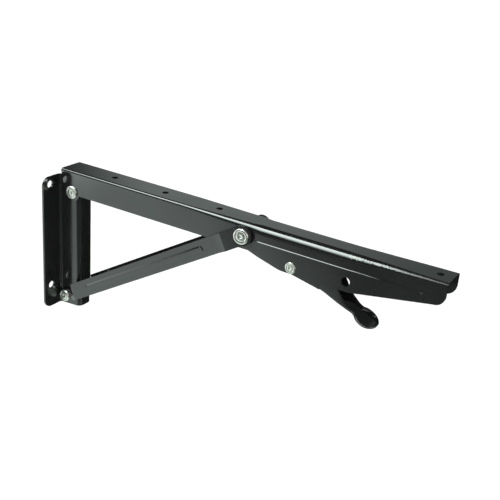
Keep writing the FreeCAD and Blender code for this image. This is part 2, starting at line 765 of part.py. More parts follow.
# Washers keep the moving sheets apart; sleeve and spacer keep the sides apart.
hat_in = hat_half - sheet_t
bulge_in = bulge_half - sheet_t
arm_in = arm_half - sheet_t
rings = [
    ring("arm_washer_near", arm_x, arm_z, hat_half, arm_in, bore_r, washer_r),
    ring("arm_washer_far", arm_x, arm_z, -arm_in, -hat_half, bore_r, washer_r),
    ring("strut_washer_near", strut_x, strut_z, hat_half, strut_foot, bore_r,
         foot_washer_r),
    ring("strut_washer_far", strut_x, strut_z, -strut_foot, -hat_half, bore_r,
         foot_washer_r),
    ring("lever_washer_near", lever_x, lever_z, lever_half, bulge_in, bore_r, washer_r),
    ring("lever_washer_far", lever_x, lever_z, -bulge_in, -lever_half, bore_r, washer_r),
    ring("strut_pivot_sleeve", strut_x, strut_z, end_gap - hat_in, hat_in - end_gap,
         bore_r, sleeve_r),
    ring("lever_spacer", lever_x, lever_z, end_gap + lever_t - lever_half,
         lever_half - lever_t - end_gap, bore_r, spacer_r),
]

# The spring turns round the spacer. Its first leg lies along the floor of the lever,
# its second stands up towards the top of the arm.
spring = doc.addObject("Part::Feature", "lever_spring")
spring.Label = "lever_spring"
wire = wire_r.value
pitch = coil_pitch.value
mean_r = coil_r.value
coil_length = pitch * coil_turns.value
coil = Part.makeHelix(pitch, coil_length, mean_r)
start = vector(mean_r, 0, 0)
end = vector(0, mean_r, coil_length)
wire_section = Part.Wire(Part.makeCircle(wire, start, vector(0, 1, 0)))
turns = Part.Wire(coil.Edges).makePipeShell([wire_section], True, True)
lower_leg = Part.makeCylinder(wire, low_leg.value, start, vector(0, -1, 0))
upper_leg = Part.makeCylinder(wire, high_leg.value, end, vector(-1, 0, 0))
spring.Shape = turns.fuse([lower_leg, upper_leg])
drop = (bar_mid_drop - lever_boss).value
run = (bar_mid_on + floor_shift).value
onto_axis = FreeCAD.Matrix(0, -1, 0, 0, 0, 0, 1, 0, -1, 0, 0, 0, 0, 0, 0, 1)
slope = FreeCAD.Rotation(vector(0, 1, 0), math.degrees(math.atan2(drop, run)))
spring.Placement = FreeCAD.Placement(
    vector(lever_x.value, -coil_length / 2, lever_z.value),
    slope.multiply(FreeCAD.Rotation(onto_axis)),
)

doc.recompute()

nodes = [plate, arm, strut, lever, lock_pin, arm_rivet, foot_rivet, lever_rivet]
nodes += fork_rivets + rings + [spring]
for item in doc.Objects:
    if "Invalid" in item.State or "Error" in item.State:
        raise RuntimeError(f"{item.Name} is {item.State}")
for node in nodes:
    shape = node.Shape
    if shape.isNull() or not shape.isValid():
        raise RuntimeError(f"{node.Label} has no valid shape")
    box = shape.BoundBox
    print(
        f"{node.Label:22s} solids {len(shape.Solids)} volume {shape.Volume:9.1f}"
        f"  x {box.XMin:.1f} {box.XMax:.1f} y {box.YMin:.1f} {box.YMax:.1f}"
        f" z {box.ZMin:.1f} {box.ZMax:.1f}"
    )
    shape.exportStep(f"parts/{node.Label}.step")
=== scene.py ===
# %% [markdown]
# # A drop leaf bracket in gloss black
# The bracket is pressed from steel sheet, coated black and riveted together. Its solids
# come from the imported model, in metres: X runs out of the wall, Y along it and Z up.
# Here they get their finishes. The pressed sheets, the lever and the rivets are modelled
# once more with the rounder forms that a gloss shows, and a small studio is set up.

# %% Load the bracket
import json
import math

import bmesh
import bpy
from mathutils import Matrix, Vector


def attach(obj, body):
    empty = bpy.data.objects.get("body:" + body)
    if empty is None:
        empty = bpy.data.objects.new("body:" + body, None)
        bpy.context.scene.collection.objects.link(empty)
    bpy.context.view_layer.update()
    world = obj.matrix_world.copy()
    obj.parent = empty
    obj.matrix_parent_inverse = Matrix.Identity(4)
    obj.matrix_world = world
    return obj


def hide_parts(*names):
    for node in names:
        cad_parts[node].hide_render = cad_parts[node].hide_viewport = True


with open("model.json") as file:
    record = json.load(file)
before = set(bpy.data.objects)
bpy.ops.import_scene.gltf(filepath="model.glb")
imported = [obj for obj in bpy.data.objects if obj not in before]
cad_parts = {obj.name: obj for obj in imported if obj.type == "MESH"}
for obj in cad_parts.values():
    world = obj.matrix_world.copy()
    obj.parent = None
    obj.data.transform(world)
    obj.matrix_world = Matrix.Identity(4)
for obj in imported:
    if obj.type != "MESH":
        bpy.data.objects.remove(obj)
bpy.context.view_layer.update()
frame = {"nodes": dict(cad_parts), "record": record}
nodes = frame["nodes"]

# %% [markdown]
# ## Camera
# The photograph looks down on the bracket from its left front, with the camera tipped a
# little about its own axis. A location, a direction and a roll say all of it, and the
# lens is long, about 61 mm on a 36 mm sensor, as product photographs are taken.

# %% Camera
CAMERA_AT = Vector((0.5556, -0.5987, 0.3355))
AZIMUTH = math.radians(29.61)
ELEVATION = math.radians(23.29)
ROLL = math.radians(4.92)
LENS = 61.2
SENSOR = 36


def camera_turn(azimuth, elevation, roll):
    """Axes of a camera seen from an azimuth and elevation, rolled about its view."""
    back = Vector((
        math.sin(azimuth) * math.cos(elevation),
        -math.cos(azimuth) * math.cos(elevation),
        math.sin(elevation),
    ))
    right = Vector((math.cos(azimuth), math.sin(azimuth), 0))
    up = back.cross(right)
    turned_right = right * math.cos(roll) + up * math.sin(roll)
    turned_up = up * math.cos(roll) - right * math.sin(roll)
    return Matrix((turned_right, turned_up, back)).transposed()


camera = bpy.data.objects.new("camera", bpy.data.cameras.new("camera"))
camera.data.lens = LENS
camera.data.sensor_width = SENSOR
camera.data.clip_start = 0.01
bpy.context.scene.collection.objects.link(camera)
camera.matrix_world = (
    Matrix.Translation(CAMERA_AT) @ camera_turn(AZIMUTH, ELEVATION, ROLL).to_4x4()
)
bpy.context.scene.camera = camera
print("camera at", [round(c, 3) for c in CAMERA_AT], "lens", LENS)

# %% [markdown]
# ## Node helpers
# Every finish is built from shader nodes. Two small helpers keep that short: one adds a
# node and sets its values, the other makes a group with named inputs and outputs.

# %% Node helpers


def add_node(tree, kind, **values):
    """Add a shader node and set its properties and its input values by name."""
    node = tree.nodes.new(kind)
    for key, value in values.items():
        if hasattr(node, key):
            setattr(node, key, value)
        else:
            node.inputs[key.replace("_", " ")].default_value = value
    return node


def new_group(name, inputs, outputs):
    """Make a node group; inputs and outputs are {name: (socket kind, value)}."""
    group = bpy.data.node_groups.new(name, "ShaderNodeTree")
    for side, sockets in (("INPUT", inputs), ("OUTPUT", outputs)):
        for label, (kind, value) in sockets.items():
            socket = group.interface.new_socket(label, in_out=side, socket_type=kind)
            if value is not None:
                socket.default_value = value
    start = group.nodes.new("NodeGroupInput")
    end = group.nodes.new("NodeGroupOutput")
    return group, start, end


COLOUR = "NodeSocketColor"
NUMBER = "NodeSocketFloat"
DIRECTION = "NodeSocketVector"
# Sockets of a Mix node that is set to colours.
MIX_FACTOR, MIX_FIRST, MIX_SECOND, MIX_RESULT = 0, 6, 7, 2
print("node helpers ready")

# %% [markdown]
# ## Coating group
# A baked coating is never quite flat: it keeps a faint orange peel, it varies a little in
# gloss where it ran thicker, and fine dust settles on it. Noise at three scales gives
# those, and one group serves every coated piece with its own values.

# %% Coating group
DUST_COLOUR = (0.05, 0.052, 0.05, 1)


def coating_group():
    """Nearly black paint with dust specks, drifting gloss and orange peel."""
    group, start, end = new_group(
        "baked_coating",
        {
            "Colour": (COLOUR, (0.01, 0.0105, 0.0105, 1)),
            "Dust": (NUMBER, 0.2),
            "Peel": (NUMBER, 0.055),
            "Gloss Low": (NUMBER, 0.1),
            "Gloss High": (NUMBER, 0.2),
        },
        {"Colour": (COLOUR, None), "Roughness": (NUMBER, None), "Normal": (DIRECTION, None)},
    )
    link = group.links.new
    place = add_node(group, "ShaderNodeTexCoord").outputs["Object"]
    cloud = add_node(group, "ShaderNodeTexNoise", Scale=22.0, Detail=3.0)
    speck = add_node(group, "ShaderNodeTexNoise", Scale=900.0, Detail=2.0)
    peel = add_node(group, "ShaderNodeTexNoise", Scale=420.0, Detail=1.0)
    for texture in (cloud, speck, peel):
        link(place, texture.inputs["Vector"])
    gloss = add_node(group, "ShaderNodeMapRange", From_Min=0.35, From_Max=0.65)
    link(cloud.outputs["Fac"], gloss.inputs["Value"])
    link(start.outputs["Gloss Low"], gloss.inputs["To Min"])
    link(start.outputs["Gloss High"], gloss.inputs["To Max"])
    dust = add_node(group, "ShaderNodeMapRange", From_Min=0.62, From_Max=0.75)
    link(speck.outputs["Fac"], dust.inputs["Value"])
    amount = add_node(group, "ShaderNodeMath", operation="MULTIPLY")
    link(dust.outputs["Result"], amount.inputs[0])
    link(start.outputs["Dust"], amount.inputs[1])
    tint = add_node(group, "ShaderNodeMix", data_type="RGBA")
    tint.inputs[MIX_SECOND].default_value = DUST_COLOUR
    link(amount.outputs[0], tint.inputs[MIX_FACTOR])
    link(start.outputs["Colour"], tint.inputs[MIX_FIRST])
    bump = add_node(group, "ShaderNodeBump", Distance=0.0001)
    link(peel.outputs["Fac"], bump.inputs["Height"])
    link(start.outputs["Peel"], bump.inputs["Strength"])
    link(tint.outputs[MIX_RESULT], end.inputs["Colour"])
    link(gloss.outputs["Result"], end.inputs["Roughness"])
    link(bump.outputs["Normal"], end.inputs["Normal"])
    return group


COATING = coating_group()
print("coating group sockets:", [s.name for s in COATING.interface.items_tree])

# %% [markdown]
# ## Plating group
# Bright zinc has a yellow and a blue cast that drift over it, with small scratches left
# by tumbling. A slow noise mixes the two casts and a stretched one lays the scratches.

# %% Plating group


def plating_group():
    """Zinc whose cast drifts between two colours, with scratches along Z."""
    group, start, end = new_group(
        "zinc_plating",
        {
            "Warm": (COLOUR, (0.94, 0.92, 0.81, 1)),
            "Cool": (COLOUR, (0.86, 0.9, 0.87, 1)),
            "Scratch": (NUMBER, 0.2),
            "Gloss Low": (NUMBER, 0.2),
            "Gloss High": (NUMBER, 0.38),
        },
        {"Colour": (COLOUR, None), "Roughness": (NUMBER, None), "Normal": (DIRECTION, None)},
    )
    link = group.links.new
    place = add_node(group, "ShaderNodeTexCoord").outputs["Object"]
    cast = add_node(group, "ShaderNodeTexNoise", Scale=260.0, Detail=4.0)
    stretch = add_node(group, "ShaderNodeMapping", Scale=(1500, 1500, 260))
    scratch = add_node(group, "ShaderNodeTexNoise", Scale=1.0, Detail=3.0)
    link(place, cast.inputs["Vector"])
    link(place, stretch.inputs["Vector"])
    link(stretch.outputs["Vector"], scratch.inputs["Vector"])
    mix = add_node(group, "ShaderNodeMix", data_type="RGBA")
    link(cast.outputs["Fac"], mix.inputs[MIX_FACTOR])
    link(start.outputs["Warm"], mix.inputs[MIX_FIRST])
    link(start.outputs["Cool"], mix.inputs[MIX_SECOND])
    gloss = add_node(group, "ShaderNodeMapRange", From_Min=0.35, From_Max=0.7)
    link(scratch.outputs["Fac"], gloss.inputs["Value"])
    link(start.outputs["Gloss Low"], gloss.inputs["To Min"])
    link(start.outputs["Gloss High"], gloss.inputs["To Max"])
    bump = add_node(group, "ShaderNodeBump", Distance=0.00008)
    link(scratch.outputs["Fac"], bump.inputs["Height"])
    link(start.outputs["Scratch"], bump.inputs["Strength"])
    link(mix.outputs[MIX_RESULT], end.inputs["Colour"])
    link(gloss.outputs["Result"], end.inputs["Roughness"])
    link(bump.outputs["Normal"], end.inputs["Normal"])
    return group


PLATING = plating_group()
print("plating group sockets:", [s.name for s in PLATING.interface.items_tree])

# %% [markdown]
# ## Materials
# The group's outputs feed one Principled shader in each material. The coating is no
# metal: it is nearly black under a hard bright gloss, and an index of 1.85 instead of the
# usual 1.5 makes that gloss strong. Rivets, washers and spring are metal.

# %% Materials


def finish(name, group, metallic, ior, **values):
    """One material: a finish group feeding a Principled shader."""
    material = bpy.data.materials.new(name)
    material.use_nodes = True
    tree = material.node_tree
    shader = tree.nodes["Principled BSDF"]
    shader.inputs["Metallic"].default_value = metallic
    shader.inputs["IOR"].default_value = ior
    made = tree.nodes.new("ShaderNodeGroup")
    made.node_tree = group
    for key, value in values.items():
        made.inputs[key.replace("_", " ")].default_value = value
    tree.links.new(made.outputs["Colour"], shader.inputs["Base Color"])
    tree.links.new(made.outputs["Roughness"], shader.inputs["Roughness"])
    tree.links.new(made.outputs["Normal"], shader.inputs["Normal"])
    return material


BLACK = finish("black_coating", COATING, metallic=0.0, ior=1.85)
ZINC = finish("zinc_rivet", PLATING, metallic=1.0, ior=1.5)
WASHER = finish(
    "washer_steel", PLATING, metallic=1.0, ior=1.5,
    Warm=(0.5, 0.49, 0.46, 1), Cool=(0.44, 0.46, 0.47, 1), Gloss_Low=0.3, Gloss_High=0.5,
)
WIRE = finish(
    "spring_wire", PLATING, metallic=1.0, ior=1.5,
    Warm=(0.32, 0.31, 0.3, 1), Cool=(0.26, 0.28, 0.3, 1), Gloss_Low=0.25, Gloss_High=0.4,
)
FINISH_OF_SLOT = {
    "black_coating": BLACK,
    "plated_steel": ZINC,
    "washer_steel": WASHER,
    "spring_steel": WIRE,
}
for entry in frame["record"]["subparts"]:
    mesh = nodes[entry["node"]].data
    mesh.materials.clear()
    mesh.materials.append(FINISH_OF_SLOT[entry["material_slot"]])
print("finishes:", [m.name for m in FINISH_OF_SLOT.values()])

# %% [markdown]
# ## Modelling helpers
# Every new piece is modelled with the same few moves: select faces, edges or points by
# their place, extrude or scale what is selected, and finish the piece by naming the body
# that it rides on and the solid that it stands for.

# %% Modelling helpers
NEAR = 1e-5


def pick(kind, test):
    """In edit mode, select only the verts, edges or faces that pass a test."""
    bpy.context.tool_settings.mesh_select_mode = [kind == k for k in ("verts", "edges", "faces")]
    mesh = bmesh.from_edit_mesh(bpy.context.object.data)
    for group in (mesh.verts, mesh.edges, mesh.faces):
        for item in group:
            item.select = False
    chosen = [item for item in getattr(mesh, kind) if test(item)]
    for item in chosen:
        item.select_set(True)
    bmesh.update_edit_mesh(bpy.context.object.data)
    return len(chosen)


def extrude(move, scale=(1, 1, 1), about=(0, 0, 0)):
    """Extrude what is selected by a move, then scale it about a point."""
    bpy.ops.mesh.extrude_region_move(TRANSFORM_OT_translate={"value": move})
    bpy.ops.transform.resize(value=scale, center_override=about)


def finish_piece(piece, body, node, material, crease):
    """Finish, body and the solid that the piece stands for.

    The crease is the angle for smooth shading, or None where soften has set it.
    """
    bpy.ops.object.mode_set(mode="OBJECT")
    if crease:
        bpy.ops.object.shade_smooth_by_angle(angle=math.radians(crease))
    piece.data.materials.clear()
    piece.data.materials.append(material)
    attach(piece, body)
    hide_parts(node)


def to_world():
    """Put the selected piece's place and turn into its mesh."""
    bpy.ops.object.transform_apply(location=True, rotation=True, scale=True)


def apply_modifier(piece, kind, **values):
    """Add a modifier, set it and apply it."""
    modifier = piece.modifiers.new(kind.lower(), kind)
    for key, value in values.items():
        setattr(modifier, key, value)
    bpy.ops.object.modifier_apply(modifier=modifier.name)


print("modelling helpers ready")

# %% [markdown]
# ## Sheet helpers
# A sheet could be modelled afresh, but its holes and folds have to fit the other solids.
# A merged copy of the solid keeps them: its flat faces are made whole again, a few points
# are moved, and a bevel rounds its edges. Weighted normals keep the flats flat in the
# light, and the smoothing angle is small so that beads and creases stay crisp.

# %% Sheet helpers
MERGE = 1e-6
FLAT_TURN = 0.3
SOFT_TURN = 17
SHARP_FOLD = 50


def sheet_copy(node, name):
    """A merged copy of a solid, with its flat faces whole, ready to be reshaped."""
    bpy.ops.object.select_all(action="DESELECT")
    piece = bpy.data.objects.new(name, nodes[node].data.copy())
    bpy.context.scene.collection.objects.link(piece)
    piece.select_set(True)
    bpy.context.view_layer.objects.active = piece
    bpy.ops.mesh.customdata_custom_splitnormals_clear()
    bpy.ops.object.mode_set(mode="EDIT")
    bpy.ops.mesh.select_all(action="SELECT")
    bpy.ops.mesh.remove_doubles(threshold=MERGE)
    bpy.ops.mesh.dissolve_limited(angle_limit=math.radians(FLAT_TURN))
    return piece


def soften(piece, width):
    """Round the cut edges of a sheet and keep its flat faces flat in the light."""
    bpy.ops.object.mode_set(mode="OBJECT")
    apply_modifier(piece, "BEVEL", width=width, segments=2, limit_method="ANGLE",
                   angle_limit=math.radians(SHARP_FOLD))
    bpy.ops.object.shade_smooth_by_angle(angle=math.radians(SOFT_TURN))
    apply_modifier(piece, "WEIGHTED_NORMAL", keep_sharp=True)


print("sheet helpers ready")

# %% [markdown]
# ## Rivet profile
# A formed rivet head has a rounded edge, a shallow groove where the die pressed, and a
# mark in its middle. A head could be spun from a profile. Here the end of a shank is
# extruded and scaled ring by ring, as a lathe would see it, because both ends then stay
# one closed skin with the shank. Radii and heights are shares of the head's own, and
# those of the mark are shares of its radius and depth. The fork ears of the strut lean
# in by 6 degrees, as the photograph's reflections show, and their rivets lean with them:
# both turn about the same upright line through the ear.

# %% Rivet profile
SHANK_R = 0.0028
MARK_R = 0.0013
MARK_DEEP = 0.0005
HEAD_RINGS = [
    (1.0, 0.0), (1.0, 0.42), (0.985, 0.62), (0.95, 0.79), (0.9, 0.91), (0.83, 0.985),
    (0.76, 1.0), (0.7, 0.97), (0.66, 0.88), (0.63, 0.84), (0.59, 0.86), (0.54, 0.91),
    (0.45, 0.94), (0.35, 0.95),
]
MARK_RINGS = [(1.15, 0.0), (1.0, 0.3), (0.75, 0.9), (0.3, 1.0)]
SHANK_SIDES = 64
RIVET_CREASE = 40
EAR_AT = (0.2159, 0.0174, 0.058)
EAR_TILT = math.radians(6)


def tilt_ear(way):
    """Turn what is selected about the upright line through one ear."""
    centre = (EAR_AT[0], way * EAR_AT[1], EAR_AT[2])
    bpy.ops.transform.rotate(value=way * EAR_TILT, orient_axis="Z", center_override=centre)


def form_head(x, z, foot, way, head_r, head_t):
    """Shape the end of a shank at y = foot into a head."""
    pick("faces", lambda f: len(f.verts) > 4 and abs(f.calc_center_median().y - foot) < NEAR)
    radius, height = SHANK_R, 0.0
    rings = [(share * head_r, rise * head_t) for share, rise in HEAD_RINGS]
    floor_y = head_t * HEAD_RINGS[-1][1]
    rings += [(share * MARK_R, floor_y - deep * MARK_DEEP) for share, deep in MARK_RINGS]
    for next_radius, next_height in rings:
        ratio = next_radius / radius
        extrude((0, way * (next_height - height), 0), (ratio, 1, ratio), (x, foot, z))
        radius, height = next_radius, next_height


def rivet(name, body, x, z, low, high, head_r, head_t, ends):
    """One rivet across the bracket, with a head at one end or both."""
    bpy.ops.object.select_all(action="DESELECT")
    bpy.ops.mesh.primitive_cylinder_add(
        vertices=SHANK_SIDES, radius=SHANK_R, depth=high - low,
        location=(x, (low + high) / 2, z), rotation=(math.pi / 2, 0, 0),
    )
    piece = bpy.context.object
    piece.name = piece.data.name = "formed_" + name
    to_world()
    bpy.ops.object.mode_set(mode="EDIT")
    for way in ends:
        form_head(x, z, high if way > 0 else low, way, head_r, head_t)
    if body == "strut":
        bpy.ops.mesh.select_all(action="SELECT")
        tilt_ear(ends[0])
    finish_piece(piece, body, name, ZINC, RIVET_CREASE)
    return piece


print("rings of a head:", len(HEAD_RINGS) + len(MARK_RINGS))

# %% [markdown]
# ## Rivets
# Three rivets go right through the bracket and have a head at each end. The fork has a
# short one in each ear instead, because the arm and its lock pin lie between the ears.
# One table of places and sizes serves all five, and each names the body that it rides on.

# %% Rivets
BOTH = (-1, 1)
PIN_HEAD, FOOT_HEAD, FORK_HEAD = (0.0065, 0.0021), (0.0061, 0.0021), (0.0072, 0.0021)
LOW_HEAD = (0.005, 0.0009)
# Each row: name, body, x, z, both ends of the shank, radius and height of head, heads at.
RIVETS = [
    ("arm_pivot_rivet", "wall_plate", 0.02, 0.0474, -0.014, 0.014, *PIN_HEAD, BOTH),
    ("strut_pivot_rivet", "wall_plate", 0.0102, -0.0673, -0.0141, 0.0141, *FOOT_HEAD, BOTH),
    ("lever_pivot_rivet", "arm", 0.2642, 0.0418, -0.015, 0.015, *LOW_HEAD, BOTH),
    ("strut_end_rivet_near", "strut", EAR_AT[0], EAR_AT[2], -0.0184, -0.0164, *FORK_HEAD, (-1,)),
    ("strut_end_rivet_far", "strut", EAR_AT[0], EAR_AT[2], 0.0164, 0.0184, *FORK_HEAD, (1,)),
]
rivets = [rivet(*row) for row in RIVETS]
print("rivets:", [(r.name, len(r.data.polygons)) for r in rivets])

# %% [markdown]
# ## Wall plate
# A pressed sheet has edges rounded by the die and the coating, and they catch the light.
# The sides of the hat also open a little towards the wall, so that it leaves the die,
# which shows as a stripe of light in the gloss. Scaling the hat would move its crown, so
# its rows of side points are moved apart slice by slice, the more the nearer to the wall.

# %% Wall plate
EDGE_ROUND = 0.00035
DRAFT = 0.0017
WALL_FROM, WALL_TO = 0.005, 0.0199
HAT_SIDE = 0.01215
FIRST_ROW = WALL_FROM + 0.0002
SLICES = 40
SLICE = (WALL_TO - WALL_FROM) / SLICES


def open_row(low, high, shift):
    """Move both rows of side points between two distances from the wall apart."""
    for way in BOTH:
        found = pick("verts", lambda v: low < v.co.x < high and 0 < v.co.y * way < HAT_SIDE)
        if found:
            bpy.ops.transform.translate(value=(0, way * shift, 0))


plate = sheet_copy("wall_plate", "pressed_wall_plate")
open_row(-0.001, FIRST_ROW, DRAFT)
for step in range(SLICES):
    low = FIRST_ROW + step * SLICE
    middle = low + SLICE / 2
    open_row(low, low + SLICE, DRAFT * (WALL_TO - middle) / (WALL_TO - WALL_FROM))
soften(plate, EDGE_ROUND)
finish_piece(plate, "wall_plate", "wall_plate", BLACK, None)
print("wall plate faces:", len(plate.data.polygons))

# %% [markdown]
# ## Arm
# Beside the lever the arm's side steps out at a shoulder, and the wall above it leans, so
# that the crease below catches a line of light. Near the nose a blind dimple is pressed
# into each side. The shoulder's points are moved and its crease is marked sharp. A short
# plug with a hollow face closes the solid's hole there, which a boolean could do less
# cleanly.

# %% Arm shoulder
SHOULDER_FROM, LEAN_TO, CREASE_TO = 0.2305, 0.3145, 0.397
SHOULDER_TOP, SHOULDER_SPAN = 0.0569, 0.00008
SHOULDER_OUT = 0.0139
LEAN_OUT, LEAN_DOWN = 0.0006, 0.0008
CREASE_LOW, CREASE_HIGH = 0.055, 0.0577
CREASE_TURN = math.radians(3)
arm = sheet_copy("arm", "pressed_arm")
moved = 0
for way in BOTH:
    moved += pick("verts", lambda v: SHOULDER_FROM < v.co.x < LEAN_TO
                  and abs(v.co.z - SHOULDER_TOP) < SHOULDER_SPAN
                  and v.co.y * way > SHOULDER_OUT)
    bpy.ops.transform.translate(value=(0, way * LEAN_OUT, -LEAN_DOWN))
pick("edges", lambda e: e.calc_face_angle(0) > CREASE_TURN
     and all(SHOULDER_FROM < v.co.x < CREASE_TO and CREASE_LOW < v.co.z < CREASE_HIGH
             and abs(v.co.y) > SHOULDER_OUT for v in e.verts))
bpy.ops.mesh.mark_sharp()
bpy.ops.object.mode_set(mode="OBJECT")
print("shoulder points moved:", moved)

# %% Arm dimples
DIMPLE_X, DIMPLE_Y, DIMPLE_Z = 0.3778, 0.0126, 0.0559
DIMPLE_R = 0.00202
DIMPLE_SIDES = 32
PLUG_THICK, DIMPLE_DEEP = 0.0012, 0.0006
for way in BOTH:
    bpy.ops.object.select_all(action="DESELECT")
    bpy.ops.mesh.primitive_cylinder_add(
        vertices=DIMPLE_SIDES, radius=DIMPLE_R, depth=PLUG_THICK,
        location=(DIMPLE_X, way * DIMPLE_Y, DIMPLE_Z), rotation=(math.pi / 2, 0, 0),
    )
    to_world()
    bpy.ops.object.mode_set(mode="EDIT")
    pick("faces", lambda f: len(f.verts) > 4 and f.normal.y * way > 0.5)
    bpy.ops.mesh.inset(thickness=DIMPLE_R / 2)
    bpy.ops.transform.translate(value=(0, -way * DIMPLE_DEEP, 0))
    bpy.ops.object.mode_set(mode="OBJECT")
    arm.select_set(True)
    bpy.context.view_layer.objects.active = arm
    bpy.ops.object.join()
soften(arm, EDGE_ROUND)
finish_piece(arm, "arm", "arm", BLACK, None)
print("arm faces:", len(arm.data.polygons))

# %% [markdown]
# ## Strut
# A long bead in each side stiffens the strut, and its fork ears lean in against the arm.
# The bead in the photograph is fainter than the solid's, so its face is let down a little.
# Its edges are marked sharp, or the smooth shading would wash it out, and each ear is
# turned as a whole.

# %% Strut
BEAD_FROM, BEAD_TO = 0.03, 0.19
SIDE_OUT, BEAD_OUT = 0.0163, 0.0172
SIDE_SPAN = 0.0001
BEAD_SHALLOW = 0.00042
BEAD_TURN = math.radians(4)
EAR_FROM = 0.2
# The strut's middle line rises from the rivet at its foot; the bead's edges lie near it.
STRUT_SLOPE, STRUT_FOOT = 0.619, -0.0673
BEAD_LOW, BEAD_HIGH = -0.0075, 0.0085


def beside_bead(point):
    """Whether a point is on the strut's side, at the place of the bead."""
    above = point.z - (point.x * STRUT_SLOPE + STRUT_FOOT)
    return (BEAD_FROM < point.x < BEAD_TO and abs(point.y) > SIDE_OUT - SIDE_SPAN
            and BEAD_LOW < above < BEAD_HIGH)


strut = sheet_copy("strut", "pressed_strut")
for way in BOTH:
    pick("verts", lambda v: BEAD_FROM < v.co.x < BEAD_TO
         and abs(v.co.y * way - BEAD_OUT) < SIDE_SPAN)
    bpy.ops.transform.translate(value=(0, -way * BEAD_SHALLOW, 0))
    pick("verts", lambda v: v.co.x > EAR_FROM and v.co.y * way > SIDE_OUT)
    tilt_ear(way)
pick("edges", lambda e: e.calc_face_angle(0) > BEAD_TURN
     and all(beside_bead(v.co) for v in e.verts))
bpy.ops.mesh.mark_sharp()
soften(strut, EDGE_ROUND)
finish_piece(strut, "strut", "strut", BLACK, None)
print("strut faces:", len(strut.data.polygons))

# %% [markdown]
# ## Lever stations
# The lever is one sheet folded into a trough that narrows to a waist and opens into a
# shallow cup for the thumb. A box would give the trough but not the flowing waist, so the
# lever is described by stations along it, as a boat is by its ribs. Each gives the place
# and half width of the floor and of the rim. Those of the cup follow from a circle on a
# slope, and the cup gets shallower towards its tip.

# %% Lever stations
SHEET = 0.0015
# Each row: floor x, floor z, half width, rim x, rim z, rim half width.
TROUGH = [
    (0.2905, 0.0280, 0.0100, 0.2905, 0.0415, 0.0100),
    (0.2967, 0.0258, 0.0100, 0.2967, 0.0407, 0.0100),
    (0.3015, 0.0236, 0.0100, 0.3015, 0.0402, 0.0100),
    (0.3050, 0.0221, 0.0100, 0.3052, 0.0372, 0.0100),
    (0.3100, 0.0200, 0.0100, 0.3098, 0.0298, 0.0100),
    (0.3145, 0.0182, 0.0098, 0.3145, 0.0240, 0.0098),
    (0.3185, 0.0165, 0.0093, 0.3183, 0.0208, 0.0094),
    (0.3215, 0.0150, 0.0086, 0.3212, 0.0186, 0.0090),
]
CUP_AT = Vector((0.3321, 0, 0.0123))
CUP_TILT = math.radians(28)
CUP_R = 0.0115
CUP_WIDE = 0.0018
CUP_DEEP, TIP_SHARE = 0.0036, 0.35
FLOOR_SHARE, FLOOR_IN = 0.9, 0.0012
CUP_STATIONS = (-8.6, -6.4, -3.6, -0.6, 2.4, 5.2, 7.6, 9.5, 10.8, 11.45)


def cup_row(along):
    """Floor and rim of the cup at a place along its slope, in millimetres."""
    u = along / 1000
    half = CUP_WIDE + math.sqrt(CUP_R ** 2 - u ** 2)
    rim = CUP_AT + Vector((math.cos(CUP_TILT) * u, 0, -math.sin(CUP_TILT) * u))
    low = u * FLOOR_SHARE
    round_out = math.sqrt(1 - (u / CUP_R) ** 2) if u > 0 else 1.0
    deep = CUP_DEEP * (TIP_SHARE + (1 - TIP_SHARE) * round_out)
    floor = CUP_AT + Vector((
        math.cos(CUP_TILT) * low - math.sin(CUP_TILT) * deep, 0,
        -math.sin(CUP_TILT) * low - math.cos(CUP_TILT) * deep,
    ))
    return (floor.x, floor.z, half - FLOOR_IN, rim.x, rim.z, half)


STATIONS = TROUGH + [cup_row(along) for along in CUP_STATIONS]
print("lever stations:", len(STATIONS))

# %% [markdown]
# ## Release lever
# The floor is a strip: a plane between the first two stations, whose end is extruded
# from station to station. The rim is pulled up from the floor's edge, the fold between
# them is rounded, and the sheet gets its thickness last, as a solid skin would be harder
# to keep even.

# %% Lever floor
first, second = STATIONS[0], STATIONS[1]
first_x, first_z, first_half = first[:3]
second_x, second_z = second[:2]
ASIDE = 0.001
bpy.ops.object.select_all(action="DESELECT")
bpy.ops.mesh.primitive_plane_add(
    size=2 * first_half, location=(second_x - first_half, 0, first_z),
)
handle = bpy.context.object
handle.name = handle.data.name = "formed_release_lever"
to_world()
bpy.ops.object.mode_set(mode="EDIT")
pick("verts", lambda v: v.co.x < first_x - ASIDE)
bpy.ops.transform.translate(value=(first_x - (second_x - 2 * first_half), 0, 0))
pick("verts", lambda v: v.co.x > second_x - ASIDE)
bpy.ops.transform.translate(value=(0, 0, second_z - first_z))
pick("edges", lambda e: all(v.co.x > second_x - ASIDE for v in e.verts))
for here, there in zip(STATIONS[1:], STATIONS[2:]):
    ratio = there[2] / here[2]
    extrude((there[0] - here[0], 0, there[1] - here[1]), (1, ratio, 1),
            (there[0], 0, there[1]))
floor_points = len(bmesh.from_edit_mesh(handle.data).verts)
print("points of the lever's floor:", floor_points)

# %% Lever rim
pick("edges", lambda e: e.is_boundary and any(v.co.x > first_x + ASIDE for v in e.verts))
extrude((0, 0, 0))
for x, z, half, rim_x, rim_z, rim_half in STATIONS:
    pick("verts", lambda v: v.index >= floor_points
         and abs(v.co.x - x) < NEAR and abs(v.co.z - z) < NEAR)
    bpy.ops.transform.translate(value=(rim_x - x, 0, rim_z - z))
    bpy.ops.transform.resize(value=(1, rim_half / half, 1), center_override=(rim_x, 0, rim_z))
bpy.ops.mesh.select_all(action="SELECT")
bpy.ops.mesh.normals_make_consistent(inside=False)
if min(bmesh.from_edit_mesh(handle.data).faces, key=lambda f: abs(f.normal.x)).normal.z > 0.5:
    bpy.ops.mesh.flip_normals()
print("faces with the rim:", len(bmesh.from_edit_mesh(handle.data).faces))

